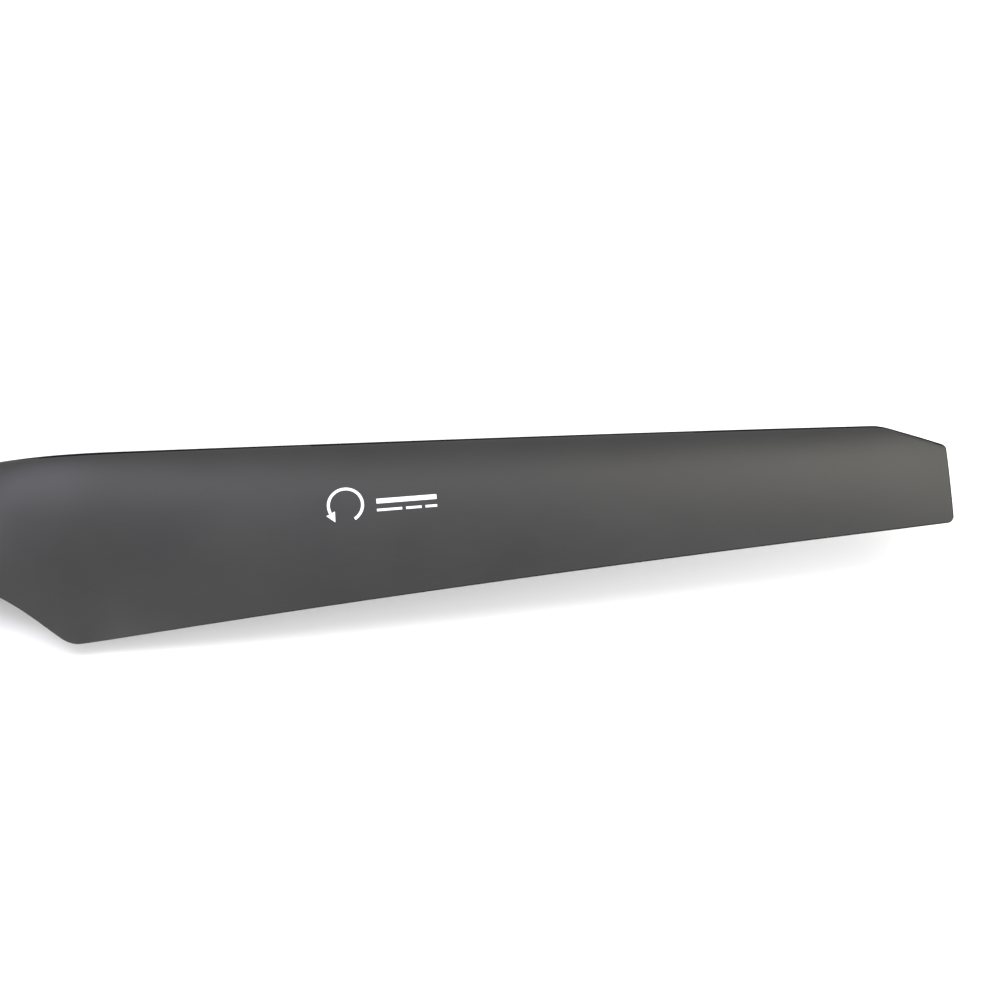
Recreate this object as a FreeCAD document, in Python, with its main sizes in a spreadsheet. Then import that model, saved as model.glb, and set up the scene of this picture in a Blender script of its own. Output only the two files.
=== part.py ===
import FreeCAD, Part
import math
import os
import Sketcher

Vector = FreeCAD.Vector
Rotation = FreeCAD.Rotation
Placement = FreeCAD.Placement

# A two-blade folding propeller for a large multirotor.  Millimetres.
# Origin at the middle of the hub's underside, +Z along the thrust axis,
# blade A along +X with its leading edge toward +Y.
# Blade pieces are drawn in the blade's own frame: the fold axis is Z at the
# origin, the blade's mid-plane is z = 0 and the span runs along +X.

# name, value, meaning.  Lengths in millimetres, angles in degrees.
DIMENSIONS = [
    # blade planform, radii counted from the hub centre
    ("tip_radius", 597.0, "hub centre to the middle of the tip edge"),
    ("tip_rake", 1.2, "how far the front tip corner stands past the middle"),
    ("tip_corner", 3.0, "radius of the two tip corners seen from above"),
    ("shank_end", 62.0, "radius where the plain shank starts to widen"),
    ("shank_half_width", 18.0, "half width of the shank, and the eye radius"),
    ("shank_thickness", 16.0, "thickness of the shank and the eye"),
    ("shank_corner", 3.0, "rounding of the shank's long edges"),
    ("lead_full", 107.0, "radius where the leading edge is widest"),
    ("lead_offset", 43.0, "leading edge to blade axis at its widest"),
    ("lead_taper", 8.6, "straight part of the leading edge's taper"),
    ("lead_bow", 9.5, "curved part of the leading edge's taper"),
    ("trail_bend", 61.0, "length over which the root's rear edge bends out"),
    ("trail_slope", 0.84, "slope of the rear edge where it runs out"),
    ("trail_corner", 140.7, "radius of the blade's inner rear corner"),
    ("trail_offset", 56.9, "trailing edge to blade axis at that corner"),
    ("trail_taper", 30.2, "straight part of the trailing edge's taper"),
    ("trail_bow", 5.2, "curved part of the trailing edge's taper"),
    ("corner_blend", 5.0, "softness of the inner rear corner"),
    ("tip_cut_radius", 566.0, "radius where the slanted tip cut starts"),
    ("tip_cut_slope", 0.50, "slope of the tip cut"),
    ("tip_cut_blend", 2.5, "softness of the start of the tip cut"),
    ("tip_cut_round", 4.0, "width of the rounding along the tip cut"),
    # blade sections
    ("section_full", 114.0, "radius where the full wing section is reached"),
    ("pitch", 432.0, "helical advance in one turn, 17 inches"),
    ("twist_full", 163.0, "radius where the full twist is reached"),
    ("rise_angle", 1.0, "upward coning of the blade"),
    ("rise_start", 100.0, "radius where the coning starts"),
    ("rise_blend", 15.0, "half length of the bend into the coning"),
    ("ratio_root", 0.115, "thickness to chord up to the full twist"),
    ("ratio_tip", 0.078, "thickness to chord at the tip"),
    ("tip_thin_radius", 556.0, "radius where the tip starts to thin out"),
    ("tip_thinning", 0.35, "share of the thickness lost at the tip"),
    ("camber", 0.045, "height of the mid line over the chord"),
    ("camber_place", 0.4, "place of the highest camber along the chord"),
    ("edge_thickness", 1.2, "thickness of the trailing edge"),
    # blade inside
    ("skin", 0.8, "thickness of the carbon skins"),
    ("bond", 0.25, "glue line around the pieces inside the skins"),
    ("seam", 0.12, "glue line where the two skins meet"),
    ("eye_seam", 0.06, "the same glue line in the flat eye"),
    ("nose_share", 0.05, "share of the chord that is solid at the front"),
    ("tail_share", 0.17, "share of the chord that is solid at the back"),
    ("block_end", 118.0, "radius where the root block ends"),
    ("core_end", 571.0, "radius where the cores and the spar end"),
    ("spar_root_width", 12.0, "spar width at the root block"),
    ("spar_tip_width", 6.0, "spar width at its outer end"),
    ("spar_root_offset", 8.0, "spar centre to blade axis at the root"),
    ("spar_tip_offset", -4.0, "spar centre to blade axis at its end"),
    # hub
    ("pivot_offset", 40.0, "hub centre to either fold axis"),
    ("blade_height", 30.0, "hub underside to the blades' mid-plane"),
    ("pedestal_radius", 26.0, "radius of the pedestal on the motor"),
    ("clamp_mid_radius", 27.0, "radius of the clamps round the centre"),
    ("clamp_end_radius", 20.0, "radius of the clamps round a fold axis"),
    ("lower_thickness", 7.0, "thickness of the lower clamp's plate"),
    ("upper_thickness", 6.5, "thickness of the upper clamp"),
    ("clamp_gap", 17.6, "space between the clamps"),
    ("web_half_length", 21.5, "centre to the flats that stop the blades"),
    ("edge_break", 0.8, "chamfer on the clamps' outer edges"),
    ("shaft_bore", 10.0, "bore for the motor shaft"),
    ("motor_circle", 36.0, "pitch circle of the motor screws"),
    ("motor_hole", 5.3, "clearance hole for an M5 motor screw"),
    ("motor_counterbore", 9.4, "counterbore for the M5 heads"),
    ("counterbore_depth", 3.5, "depth of those counterbores"),
    ("dowel_offset", 19.0, "hub centre to either dowel"),
    ("dowel_size", 4.0, "dowel diameter"),
    ("dowel_length", 10.0, "dowel length"),
    ("dowel_fit", 0.04, "added to the dowel holes"),
    ("dowel_chamfer", 0.4, "chamfer on the dowels' ends"),
    ("relief_depth", 2.0, "depth of the pockets in the upper clamp"),
    ("relief_start", 21.0, "hub centre to a pocket's wide end"),
    ("relief_end", 27.0, "hub centre to a pocket's narrow end"),
    ("relief_wide", 14.0, "width of a pocket's wide end"),
    ("relief_narrow", 7.0, "width of a pocket's narrow end"),
    # fold joint
    ("bolt_size", 8.0, "pivot bolt, M8"),
    ("bolt_length", 45.0, "pivot bolt length under the head"),
    ("bolt_head", 13.0, "diameter of the bolt head"),
    ("bolt_head_height", 8.0, "height of the bolt head"),
    ("bolt_head_chamfer", 0.7, "chamfer on the top of the bolt head"),
    ("bolt_end_chamfer", 0.8, "chamfer on the bolt's end"),
    ("socket_flats", 6.0, "hexagon socket across flats"),
    ("socket_depth", 4.0, "depth of the hexagon socket"),
    ("bolt_hole", 8.4, "hole for the bolt through the clamps"),
    ("washer_size", 16.0, "outer diameter of the steel washers"),
    ("washer_thickness", 1.6, "thickness of the steel washers"),
    ("nut_flats", 13.0, "nut across flats"),
    ("nut_height", 8.0, "height of the locking nut"),
    ("nut_collar", 1.6, "height of the nut's round locking collar"),
    ("nut_collar_inset", 0.6, "how far the collar stands inside the flats"),
    ("nut_chamfer_inset", 0.05, "how far the corner cone starts inside the flats"),
    ("nut_chamfer", 0.9, "drop of the cone that trims the nut's corners"),
    ("thread_bore", 8.1, "bore of the nut, thread not drawn"),
    ("sleeve_size", 12.0, "outer diameter of the pivot sleeve"),
    ("sleeve_bore", 8.2, "bore of the pivot sleeve"),
    ("bush_bore", 12.08, "running bore of the blade's bush"),
    ("bush_size", 16.0, "outer diameter of the blade's bush"),
    ("bush_seat", 16.1, "hole in the blade for the bush"),
    ("friction_size", 34.0, "outer diameter of the friction washers"),
    ("friction_bore", 12.4, "bore of the friction washers"),
    ("friction_thickness", 0.75, "thickness of the friction washers"),
]

doc = FreeCAD.newDocument("folding_propeller")


def write_sheet():
    """Put every dimension in the spreadsheet and return the sheet."""
    sheet = doc.addObject("Spreadsheet::Sheet", "Dims")
    for row, (name, value, meaning) in enumerate(DIMENSIONS, start=1):
        sheet.set("A%d" % row, meaning)
        sheet.set("B%d" % row, repr(value))
        sheet.setAlias("B%d" % row, name)
    doc.recompute()
    return sheet


size = write_sheet()
pieces = []


# ---------------------------------------------------------------- sketching

def new_body(name):
    """A PartDesign body that is exported as one piece."""
    body = doc.addObject("PartDesign::Body", name)
    body.Label = name
    pieces.append(body)
    return body


def new_sketch(body, name, height="0", plane="XY_Plane"):
    """A sketch on one of the body's own planes, moved along its normal."""
    sketch = body.newObject("Sketcher::SketchObject", name)
    support = [f for f in body.Origin.OriginFeatures if f.Role == plane][0]
    sketch.AttachmentSupport = [(support, "")]
    sketch.MapMode = "FlatFace"
    sketch.setExpression("AttachmentOffset.Base.z", height)
    return sketch


def value_of(expression):
    """The number an expression over the spreadsheet gives now."""
    return float(size.evalExpression(expression.replace("Dims.", "")))


def bind(sketch, kind, *where):
    """Add a sketch constraint whose last item is an expression."""
    expression = where[-1]
    number = value_of(expression)
    index = sketch.addConstraint(Sketcher.Constraint(kind, *where[:-1], number))
    sketch.setExpression("Constraints[%d]" % index, expression)


def add_circle(sketch, radius, across="0", along="0"):
    """A circle with its radius and centre driven by expressions."""
    centre = Vector(value_of(across), value_of(along), 0)
    circle = Part.Circle(centre, Vector(0, 0, 1), value_of(radius))
    index = sketch.addGeometry(circle, False)
    bind(sketch, "Radius", index, radius)
    bind(sketch, "DistanceX", -1, 1, index, 3, across)
    bind(sketch, "DistanceY", -1, 1, index, 3, along)


def add_outline(sketch, corners):
    """A closed outline of straight lines through expression corners."""
    points = [Vector(value_of(x), value_of(y), 0) for x, y in corners]
    count = len(points)
    for number in range(count):
        line = Part.LineSegment(points[number], points[(number + 1) % count])
        sketch.addGeometry(line, False)
    for number in range(count):
        following = (number + 1) % count
        sketch.addConstraint(
            Sketcher.Constraint("Coincident", number, 2, following, 1))
    for number, (x, y) in enumerate(corners):
        bind(sketch, "DistanceX", -1, 1, number, 1, x)
        bind(sketch, "DistanceY", -1, 1, number, 1, y)


def add_hexagon(sketch, flats):
    """A regular hexagon given across its flats, corners along X."""
    corner = "%s / sqrt(3)" % flats
    half = "%s / 2" % flats
    add_outline(sketch, [
        (corner, "0"),
        ("%s / 2" % corner, half),
        ("-%s / 2" % corner, half),
        ("-%s" % corner, "0"),
        ("-%s / 2" % corner, "-%s" % half),
        ("%s / 2" % corner, "-%s" % half),
    ])


def add_clamp_outline(sketch):
    """Two end circles and a middle circle joined by tangent lines."""
    offset = size.pivot_offset
    middle = size.clamp_mid_radius
    end = size.clamp_end_radius
    lean = math.asin((middle - end) / offset)
    up = math.pi / 2
    arcs = [
        (Vector(offset, 0, 0), end, lean - up, up - lean),
        (Vector(0, 0, 0), middle, up - lean, up + lean),
        (Vector(-offset, 0, 0), end, up + lean, 3 * up - lean),
        (Vector(0, 0, 0), middle, 3 * up - lean, 3 * up + lean),
    ]
    ids = []
    for centre, radius, start, stop in arcs:
        circle = Part.Circle(centre, Vector(0, 0, 1), radius)
        ids.append(sketch.addGeometry(Part.ArcOfCircle(circle, start, stop), False))
    for number, arc in enumerate(ids):
        following = ids[(number + 1) % 4]
        start = sketch.getPoint(arc, 2)
        stop = sketch.getPoint(following, 1)
        line = sketch.addGeometry(Part.LineSegment(start, stop), False)
        sketch.addConstraint(Sketcher.Constraint("Tangent", arc, 2, line, 1))
        sketch.addConstraint(Sketcher.Constraint("Tangent", line, 2, following, 1))
    for arc, radius in zip(ids, ["end", "mid", "end", "mid"]):
        bind(sketch, "Radius", arc, "Dims.clamp_%s_radius" % radius)
    for arc, across in zip(ids, ["Dims.pivot_offset", "0", "-Dims.pivot_offset", "0"]):
        bind(sketch, "DistanceX", -1, 1, arc, 3, across)
        bind(sketch, "DistanceY", -1, 1, arc, 3, "0")


def add_web_outline(sketch):
    """The middle circle cut by a flat on either side."""
    radius = size.clamp_mid_radius
    half = size.web_half_length
    angle = math.acos(half / radius)
    ids = []
    for start, stop in [(angle, math.pi - angle), (math.pi + angle, -angle)]:
        circle = Part.Circle(Vector(0, 0, 0), Vector(0, 0, 1), radius)
        ids.append(sketch.addGeometry(Part.ArcOfCircle(circle, start, stop), False))
    for number in (0, 1):
        first = ids[number]
        second = ids[1 - number]
        line = sketch.addGeometry(Part.LineSegment(
            sketch.getPoint(first, 2), sketch.getPoint(second, 1)), False)
        sketch.addConstraint(Sketcher.Constraint("Coincident", first, 2, line, 1))
        sketch.addConstraint(Sketcher.Constraint("Coincident", line, 2, second, 1))
        sketch.addConstraint(Sketcher.Constraint("Vertical", line))
    for arc in ids:
        sketch.addConstraint(Sketcher.Constraint("Coincident", arc, 3, -1, 1))
        bind(sketch, "Radius", arc, "Dims.clamp_mid_radius")
    bind(sketch, "DistanceX", -1, 1, ids[0], 1, "Dims.web_half_length")
    bind(sketch, "DistanceX", -1, 1, ids[0], 2, "-Dims.web_half_length")


def add_pad(body, name, sketch, length):
    """Pad a sketch and make sure the body grew."""
    before = body.Shape.Volume if body.Tip else 0.0
    pad = body.newObject("PartDesign::Pad", name)
    pad.Profile = sketch
    pad.setExpression("Length", length)
    doc.recompute()
    if body.Shape.Volume <= before:
        raise RuntimeError("%s added nothing" % name)
    return pad


def add_pocket(body, name, sketch, length, upward=True):
    """Pocket a sketch and make sure the body lost material."""
    before = body.Shape.Volume
    pocket = body.newObject("PartDesign::Pocket", name)
    pocket.Profile = sketch
    pocket.setExpression("Length", length)
    pocket.Reversed = upward
    doc.recompute()
    if body.Shape.Volume >= before:
        raise RuntimeError("%s removed nothing" % name)
    return pocket


def add_circular_pattern(body, name, feature, count):
    """Repeat a feature round the Z axis and make it the body's tip."""
    pattern = body.newObject("PartDesign::PolarPattern", name)
    pattern.Originals = [feature]
    axis = [f for f in body.Origin.OriginFeatures if f.Role == "Z_Axis"][0]
    pattern.Axis = (axis, [""])
    pattern.Angle = 360
    pattern.Occurrences = count
    body.Tip = pattern
    doc.recompute()
    return pattern


def edges_at(shape, height, tolerance=1e-4):
    """Names of the edges that lie flat at one height."""
    names = []
    for number, edge in enumerate(shape.Edges, start=1):
        box = edge.BoundBox
        if abs(box.ZMin - height) < tolerance and abs(box.ZMax - height) < tolerance:
            names.append("Edge%d" % number)
    return names


def add_chamfer(body, name, feature, edges, length):
    """Chamfer named edges of a feature."""
    chamfer = body.newObject("PartDesign::Chamfer", name)
    chamfer.Base = (feature, edges)
    chamfer.setExpression("Size", length)
    doc.recompute()
    return chamfer


# ---------------------------------------------------------------------- hub

PLATE_BOTTOM = "(Dims.blade_height - Dims.clamp_gap / 2 - Dims.lower_thickness)"
PLATE_TOP = "(Dims.blade_height - Dims.clamp_gap / 2)"
UPPER_BOTTOM = "(Dims.blade_height + Dims.clamp_gap / 2)"
UPPER_TOP = "(Dims.blade_height + Dims.clamp_gap / 2 + Dims.upper_thickness)"
NUT_TOP = "(%s - Dims.washer_thickness)" % PLATE_BOTTOM
HEAD_BOTTOM = "(%s + Dims.washer_thickness)" % UPPER_TOP
MOTOR_HALF = "Dims.motor_circle / 2 * sqrt(2) / 2"


def add_motor_holes(body, height, depth, diameter, name):
    """Four holes on the motor's pitch circle, cut upward from a height."""
    sketch = new_sketch(body, name + "_sketch", height)
    add_circle(sketch, diameter + " / 2", MOTOR_HALF, MOTOR_HALF)
    hole = add_pocket(body, name, sketch, depth)
    return add_circular_pattern(body, name + "_pattern", hole, 4)


def add_hole_row(body, name, height, depth, diameter, across, along):
    """Two equal holes on opposite sides of the hub centre."""
    sketch = new_sketch(body, name + "_sketch", height)
    for sign in ("", "-"):
        add_circle(sketch, diameter + " / 2", sign + across, sign + along)
    return add_pocket(body, name, sketch, depth)


def make_lower_clamp():
    """Pedestal, plate and web, machined in one piece."""
    body = new_body("lower_clamp")
    foot = new_sketch(body, "pedestal_sketch")
    add_circle(foot, "Dims.pedestal_radius")
    add_pad(body, "pedestal", foot, PLATE_BOTTOM)
    plate = new_sketch(body, "plate_sketch", PLATE_BOTTOM)
    add_clamp_outline(plate)
    pad = add_pad(body, "plate", plate, "Dims.lower_thickness")
    rims = []
    for height in (value_of(PLATE_BOTTOM), value_of(PLATE_TOP)):
        for name in edges_at(pad.Shape, height):
            centre = pad.Shape.getElement(name).CenterOfMass
            # the pedestal's own circle is centred on the axis and stays sharp
            if math.hypot(centre.x, centre.y) > size.pedestal_radius / 2.0:
                rims.append(name)
    add_chamfer(body, "plate_edges", pad, rims, "Dims.edge_break")
    web = new_sketch(body, "web_sketch", PLATE_TOP)
    add_web_outline(web)
    add_pad(body, "web", web, "Dims.clamp_gap")
    bore = new_sketch(body, "shaft_bore_sketch")
    add_circle(bore, "Dims.shaft_bore / 2")
    add_pocket(body, "shaft_hole", bore, UPPER_BOTTOM)
    add_motor_holes(body, "0", UPPER_BOTTOM, "Dims.motor_hole", "motor_holes")
    add_hole_row(body, "pivot_holes", PLATE_BOTTOM, "Dims.lower_thickness",
                 "Dims.bolt_hole", "Dims.pivot_offset", "0 * Dims.pivot_offset")
    add_hole_row(body, "dowel_holes", UPPER_BOTTOM + " - Dims.dowel_length / 2",
                 "Dims.dowel_length / 2", "(Dims.dowel_size + Dims.dowel_fit)",
                 "0 * Dims.dowel_offset", "Dims.dowel_offset")
    return body


def make_upper_clamp():
    """The plate that closes the hub over both blade roots."""
    body = new_body("upper_clamp")
    outline = new_sketch(body, "plate_sketch", UPPER_BOTTOM)
    add_clamp_outline(outline)
    pad = add_pad(body, "plate", outline, "Dims.upper_thickness")
    rims = edges_at(pad.Shape, value_of(UPPER_TOP))
    rims += edges_at(pad.Shape, value_of(UPPER_BOTTOM))
    add_chamfer(body, "plate_edges", pad, rims, "Dims.edge_break")
    bore = new_sketch(body, "shaft_bore_sketch", UPPER_BOTTOM)
    add_circle(bore, "Dims.shaft_bore / 2")
    add_pocket(body, "shaft_hole", bore, "Dims.upper_thickness")
    add_motor_holes(body, UPPER_BOTTOM, "Dims.upper_thickness",
                    "Dims.motor_hole", "motor_holes")
    add_motor_holes(body, UPPER_TOP + " - Dims.counterbore_depth",
                    "Dims.counterbore_depth", "Dims.motor_counterbore",
                    "motor_counterbores")
    add_hole_row(body, "pivot_holes", UPPER_BOTTOM, "Dims.upper_thickness",
                 "Dims.bolt_hole", "Dims.pivot_offset", "0 * Dims.pivot_offset")
    add_hole_row(body, "dowel_holes", UPPER_BOTTOM, "Dims.dowel_length / 2",
                 "(Dims.dowel_size + Dims.dowel_fit)", "0 * Dims.dowel_offset",
                 "Dims.dowel_offset")
    relief = new_sketch(body, "relief_sketch", UPPER_TOP + " - Dims.relief_depth")
    add_outline(relief, [
        ("Dims.relief_start", "Dims.relief_wide / 2"),
        ("Dims.relief_start", "-Dims.relief_wide / 2"),
        ("Dims.relief_end", "-Dims.relief_narrow / 2"),
        ("Dims.relief_end", "Dims.relief_narrow / 2"),
    ])
    pocket = add_pocket(body, "relief", relief, "Dims.relief_depth")
    add_circular_pattern(body, "relief_pattern", pocket, 2)
    return body


def make_ring(name, height, thickness, outer, bore, across="0"):
    """A plain ring: washer, sleeve or bush."""
    body = new_body(name)
    sketch = new_sketch(body, "ring_sketch", height)
    add_circle(sketch, outer + " / 2")
    add_circle(sketch, bore + " / 2")
    add_pad(body, "ring", sketch, thickness)
    body.setExpression("Placement.Base.x", across)
    return body


def make_dowel(name, along):
    """One hardened pin that keeps the clamps in line."""
    body = new_body(name)
    sketch = new_sketch(body, "pin_sketch", UPPER_BOTTOM + " - Dims.dowel_length / 2")
    add_circle(sketch, "Dims.dowel_size / 2")
    pad = add_pad(body, "pin", sketch, "Dims.dowel_length")
    middle = value_of(UPPER_BOTTOM)
    ends = edges_at(pad.Shape, middle + size.dowel_length / 2)
    ends += edges_at(pad.Shape, middle - size.dowel_length / 2)
    add_chamfer(body, "pin_ends", pad, ends, "Dims.dowel_chamfer")
    body.setExpression("Placement.Base.y", along)
    return body


def add_turned_edge(body, name, radius, height, drop):
    """Cut a cone off the top corner of a body round the Z axis."""
    before = body.Shape.Volume
    sketch = new_sketch(body, name + "_sketch", plane="XZ_Plane")
    inner = "(%s)" % radius
    outer = "(%s + 2 * %s)" % (radius, drop)
    fall = "(%s - %s)" % (height, drop)
    add_outline(sketch, [
        (inner, "(%s)" % height),
        (outer, "(%s)" % height),
        (outer, fall),
    ])
    groove = body.newObject("PartDesign::Groove", name)
    groove.Profile = sketch
    groove.ReferenceAxis = (sketch, ["V_Axis"])
    groove.Angle = 360
    doc.recompute()
    if body.Shape.Volume >= before:
        raise RuntimeError("%s removed nothing" % name)
    return groove


def make_pivot_bolt(name, across):
    """M8 socket head bolt that a blade folds about."""
    body = new_body(name)
    shank = new_sketch(body, "shank_sketch", HEAD_BOTTOM + " - Dims.bolt_length")
    add_circle(shank, "Dims.bolt_size / 2")
    pad = add_pad(body, "shank", shank, "Dims.bolt_length")
    end = edges_at(pad.Shape, value_of(HEAD_BOTTOM) - size.bolt_length)
    add_chamfer(body, "shank_end", pad, end, "Dims.bolt_end_chamfer")
    head = new_sketch(body, "head_sketch", HEAD_BOTTOM)
    add_circle(head, "Dims.bolt_head / 2")
    pad = add_pad(body, "head", head, "Dims.bolt_head_height")
    top = value_of(HEAD_BOTTOM) + size.bolt_head_height
    add_chamfer(body, "head_edge", pad, edges_at(pad.Shape, top),
                "Dims.bolt_head_chamfer")
    socket = new_sketch(body, "socket_sketch",
                        HEAD_BOTTOM + " + Dims.bolt_head_height - Dims.socket_depth")
    add_hexagon(socket, "Dims.socket_flats")
    add_pocket(body, "socket", socket, "Dims.socket_depth")
    body.setExpression("Placement.Base.x", across)
    return body


def make_pivot_nut(name, across):
    """M8 locking nut: hexagon, round collar below, plain bore."""
    body = new_body(name)
    hexagon = new_sketch(body, "hexagon_sketch",
                         NUT_TOP + " - Dims.nut_height + Dims.nut_collar")
    add_hexagon(hexagon, "Dims.nut_flats")
    add_pad(body, "hexagon", hexagon, "Dims.nut_height - Dims.nut_collar")
    add_turned_edge(body, "top_edge", "Dims.nut_flats / 2 - Dims.nut_chamfer_inset",
                    NUT_TOP, "Dims.nut_chamfer")
    collar = new_sketch(body, "collar_sketch", NUT_TOP + " - Dims.nut_height")
    add_circle(collar, "Dims.nut_flats / 2 - Dims.nut_collar_inset")
    add_pad(body, "collar", collar, "Dims.nut_collar")
    bore = new_sketch(body, "bore_sketch", NUT_TOP + " - Dims.nut_height")
    add_circle(bore, "Dims.thread_bore / 2")
    add_pocket(body, "bore", bore, "Dims.nut_height")
    body.setExpression("Placement.Base.x", across)
    return body


def make_hub():
    """Every piece that stays with the hub."""
    make_lower_clamp()
    make_upper_clamp()
    make_dowel("locating_dowel_a", "Dims.dowel_offset")
    make_dowel("locating_dowel_b", "-Dims.dowel_offset")
    for side, across in (("a", "Dims.pivot_offset"), ("b", "-Dims.pivot_offset")):
        make_pivot_bolt("pivot_bolt_" + side, across)
        make_ring("bolt_washer_" + side, UPPER_TOP, "Dims.washer_thickness",
                  "Dims.washer_size", "Dims.bolt_hole", across)
        make_ring("pivot_sleeve_" + side, PLATE_TOP, "Dims.clamp_gap",
                  "Dims.sleeve_size", "Dims.sleeve_bore", across)
        make_ring("nut_washer_" + side, NUT_TOP, "Dims.washer_thickness",
                  "Dims.washer_size", "Dims.bolt_hole", across)
        make_pivot_nut("pivot_nut_" + side, across)


# ------------------------------------------------------------- blade outline

# The lofted shank keeps this far inside the eye, so no two faces coincide.
SHANK_INSET = 0.1
# The tip tool's sides stand this far outside the blade's edges.
TRIM = 0.3
# Points on one side of a section.
SIDE_POINTS = 40


def ramp(share):
    """Smooth step from 0 to 1."""
    share = min(1.0, max(0.0, share))
    return share * share * (3.0 - 2.0 * share)


def mix(first, second, share):
    """Straight blend of two numbers."""
    return first + (second - first) * share


def soft_min(first, second, softness):
    """The smaller of two numbers with the corner rounded off."""
    near = max(softness - abs(first - second), 0.0) / softness
    return min(first, second) - near * near * softness / 4.0


def foil_share(radius):
    """0 on the plain shank, 1 where the blade is a full wing section."""
    return ramp((radius - size.shank_end) / (size.section_full - size.shank_end))


def twist_share(radius):
    """0 on the plain shank, 1 where the twist follows the helix."""
    return ramp((radius - size.shank_end) / (size.twist_full - size.shank_end))


def whole_edge(radius):
    """Blade axis to leading edge, as it would run without the tip cut."""
    outward = max(0.0, (radius - size.lead_full) / (size.tip_radius - size.lead_full))
    swept = size.lead_offset - size.lead_taper * outward - size.lead_bow * outward ** 2
    flare = ramp((radius - size.shank_end) / (size.lead_full - size.shank_end))
    return mix(size.shank_half_width, swept, flare)


def leading_edge(radius):
    """Blade axis to leading edge."""
    past = radius - size.tip_cut_radius
    cut = whole_edge(size.tip_cut_radius) - size.tip_cut_slope * past
    return soft_min(whole_edge(radius), cut, size.tip_cut_blend)


def trailing_edge(radius):
    """Blade axis to trailing edge, a negative number."""
    past = max(0.0, radius - size.shank_end)
    if past < size.trail_bend:
        drop = size.trail_slope * past * past / (2.0 * size.trail_bend)
    else:
        drop = size.trail_slope * (past - size.trail_bend / 2.0)
    outward = (radius - size.trail_corner) / (size.tip_radius - size.trail_corner)
    taper = size.trail_offset - size.trail_taper * outward
    taper += size.trail_bow * outward ** 2
    return -soft_min(size.shank_half_width + drop, taper, size.corner_blend)


def twist(radius):
    """Blade angle, leading edge up."""
    full = math.atan(size.pitch / (2.0 * math.pi * radius))
    return full * twist_share(radius)


def rise(radius):
    """Height of the blade axis over the mid-plane of the root."""
    past = radius - size.rise_start
    bend = size.rise_blend
    slope = math.tan(math.radians(size.rise_angle))
    if past < -bend:
        return 0.0
    if past < bend:
        return slope * (past + bend) ** 2 / (4.0 * bend)
    return slope * past


def foil_thickness(radius):
    """Thickness of the wing section."""
    outward = max(0.0, (radius - size.twist_full) / (size.tip_radius - size.twist_full))
    ratio = mix(size.ratio_root, size.ratio_tip, min(1.0, outward))
    thinning = ramp((radius - size.tip_thin_radius)
                    / (size.tip_radius - size.tip_thin_radius))
    chord = whole_edge(radius) - trailing_edge(radius)
    return ratio * chord * (1.0 - size.tip_thinning * thinning)


def camber_height(radius, share):
    """Height of the mid line at a share of the chord from the front."""
    place = size.camber_place
    chord = whole_edge(radius) - trailing_edge(radius)
    if share < place:
        curve = (2.0 * place * share - share * share) / place ** 2
    else:
        curve = (1.0 - 2.0 * place + 2.0 * place * share - share * share)
        curve /= (1.0 - place) ** 2
    return size.camber * chord * curve * foil_share(radius)


def cut_rounding(radius, along):
    """Share of the thickness left by the rounded edge of the tip cut."""
    front = leading_edge(radius)
    width = min(size.tip_cut_round, whole_edge(radius) - front)
    if width < 1e-6 or front - along >= width:
        return 1.0
    inward = max(0.0, front - along) / width
    return math.sqrt(max(0.0, 1.0 - (1.0 - inward) ** 2))


def foil_point(radius, travel, side):
    """Point of the wing section; travel runs 0 to 1 from back to front."""
    front = whole_edge(radius)
    back = trailing_edge(radius)
    along = mix(leading_edge(radius), back, (1.0 - travel) ** 2)
    share = min(1.0, max(0.0, (front - along) / (front - back)))
    half = 5.0 * foil_thickness(radius) * (
        0.2969 * math.sqrt(share) - 0.1260 * share - 0.3516 * share ** 2
        + 0.2843 * share ** 3 - 0.1015 * share ** 4)
    half += size.edge_thickness / 2.0 * share
    half *= cut_rounding(radius, along)
    return along, camber_height(radius, share) + side * half


def shank_point(radius, travel, side):
    """Point of the rounded bar between the same two edges."""
    front = leading_edge(radius) - SHANK_INSET
    back = trailing_edge(radius) + SHANK_INSET
    half_height = size.shank_thickness / 2.0 - SHANK_INSET
    corner = size.shank_corner
    upright = half_height - corner
    first = upright - size.edge_thickness / 2.0
    bend = corner * math.pi / 2.0
    flat = front - back - 2.0 * corner
    past = travel * (first + bend + flat + bend + upright)
    if past < first:
        return back, side * (size.edge_thickness / 2.0 + past)
    past -= first
    if past < bend:
        angle = past / corner
        height = upright + corner * math.sin(angle)
        return back + corner * (1.0 - math.cos(angle)), side * height
    past -= bend
    if past < flat:
        return back + corner + past, side * half_height
    past -= flat
    if past < bend:
        angle = past / corner
        height = upright + corner * math.cos(angle)
        return front - corner * (1.0 - math.sin(angle)), side * height
    past -= bend
    return front, side * max(0.0, upright - past)


def blend_point(radius, travel, side):
    """Point of the blade's section, between the bar and the wing section."""
    share = foil_share(radius)
    bar = shank_point(radius, travel, side)
    foil = foil_point(radius, travel, side)
    return mix(bar[0], foil[0], share), mix(bar[1], foil[1], share)


def run_of_points(radius, side, count):
    """Upper (1) or lower (-1) side of a section, from back to front."""
    return [blend_point(radius, number / float(count), side)
            for number in range(count + 1)]


def height_at(points, along):
    """Height of a run of section points at one place along the chord."""
    for first, second in zip(points, points[1:]):
        low = min(first[0], second[0])
        high = max(first[0], second[0])
        if low <= along <= high and high > low:
            share = (along - first[0]) / (second[0] - first[0])
            return mix(first[1], second[1], share)
    raise RuntimeError("no section point near %g" % along)


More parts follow.
